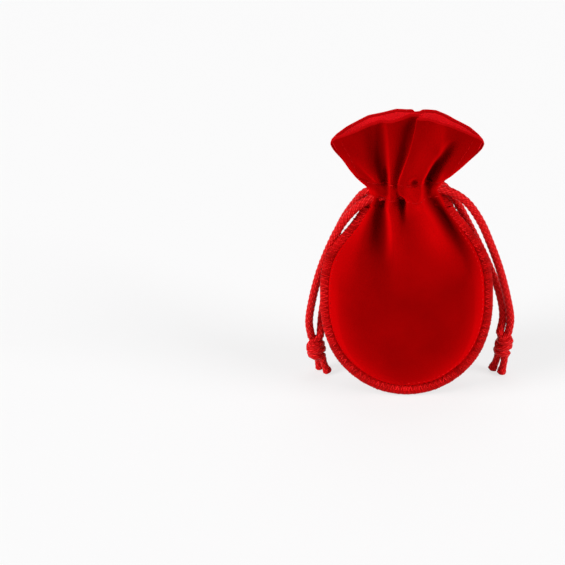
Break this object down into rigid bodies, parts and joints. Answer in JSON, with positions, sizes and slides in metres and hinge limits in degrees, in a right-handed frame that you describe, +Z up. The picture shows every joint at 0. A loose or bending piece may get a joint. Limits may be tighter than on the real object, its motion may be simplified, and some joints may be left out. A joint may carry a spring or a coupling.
{
  "type": "jewelry pouch",
  "caption": "Small velvet drawstring pouch that stands with its neck drawn shut, with a flared collar above the neck and a knotted cord loop hanging at each side.",
  "frame": {"origin": "middle of the flat foot on which the pouch stands", "axes": "+Z up through the gathered neck, -Y out of the front cloth, +X towards the right cord loop"},
  "size_m": [0.0822, 0.042, 0.1103],
  "materials": {
    "velvet": "short pile velvet",
    "sewing_thread": "polyester thread",
    "cord": "satin braid"
  },
  "bodies": {
    "pouch": {"front_panel": "velvet", "back_panel": "velvet", "overlocked_edge": "sewing_thread", "front_seam_line": "sewing_thread", "back_seam_line": "sewing_thread"},
    "mouth_left": {"front_left_collar": "velvet", "front_left_lower_stitch": "sewing_thread", "front_left_upper_stitch": "sewing_thread", "front_left_side_stitch": "sewing_thread", "left_cord_front_lead": "cord", "back_left_collar": "velvet", "back_left_lower_stitch": "sewing_thread", "back_left_upper_stitch": "sewing_thread", "back_left_side_stitch": "sewing_thread", "left_cord_back_lead": "cord", "right_cord_bend": "cord"},
    "left_loop": {"left_cord_front_strand": "cord", "left_cord_back_strand": "cord"},
    "left_knot": {"left_cord_knot": "cord", "left_cord_tail_1": "cord", "left_cord_tail_2": "cord"},
    "mouth_right": {"front_right_collar": "velvet", "front_right_lower_stitch": "sewing_thread", "front_right_upper_stitch": "sewing_thread", "front_right_side_stitch": "sewing_thread", "right_cord_front_lead": "cord", "back_right_collar": "velvet", "back_right_lower_stitch": "sewing_thread", "back_right_upper_stitch": "sewing_thread", "back_right_side_stitch": "sewing_thread", "right_cord_back_lead": "cord", "left_cord_bend": "cord"},
    "right_loop": {"right_cord_front_strand": "cord", "right_cord_back_strand": "cord"},
    "right_knot": {"right_cord_knot": "cord", "right_cord_tail_1": "cord", "right_cord_tail_2": "cord"}
  },
  "joints": [
    {"name": "mouth_left_slide", "type": "slide", "parent": "pouch", "child": "mouth_left", "axis": [-1, 0, 0], "range_m": [0, 0.015]},
    {"name": "left_loop_swing", "type": "hinge", "parent": "mouth_left", "child": "left_loop", "pos_m": [-0.011, 0.001, 0.07878], "axis": [0, 1, 0], "range_deg": [0, 70]},
    {"name": "left_knot_slide", "type": "slide", "parent": "left_loop", "child": "left_knot", "axis": [0, 0, 1], "range_m": [0, 0.03], "deforming": ["left_cord_front_strand", "left_cord_back_strand"]},
    {"name": "mouth_right_slide", "type": "slide", "parent": "pouch", "child": "mouth_right", "axis": [1, 0, 0], "range_m": [0, 0.015]},
    {"name": "right_loop_swing", "type": "hinge", "parent": "mouth_right", "child": "right_loop", "pos_m": [0.011, 0.001, 0.0821], "axis": [0, -1, 0], "range_deg": [0, 70]},
    {"name": "right_knot_slide", "type": "slide", "parent": "right_loop", "child": "right_knot", "axis": [0, 0, 1], "range_m": [0, 0.03], "deforming": ["right_cord_front_strand", "right_cord_back_strand"]}
  ],
  "couplings": [
    {"joint": "left_knot_slide", "follows": "mouth_left_slide", "ratio": 2},
    {"joint": "right_knot_slide", "follows": "mouth_left_slide", "ratio": 2},
    {"joint": "mouth_right_slide", "follows": "mouth_left_slide", "ratio": 1}
  ]
}
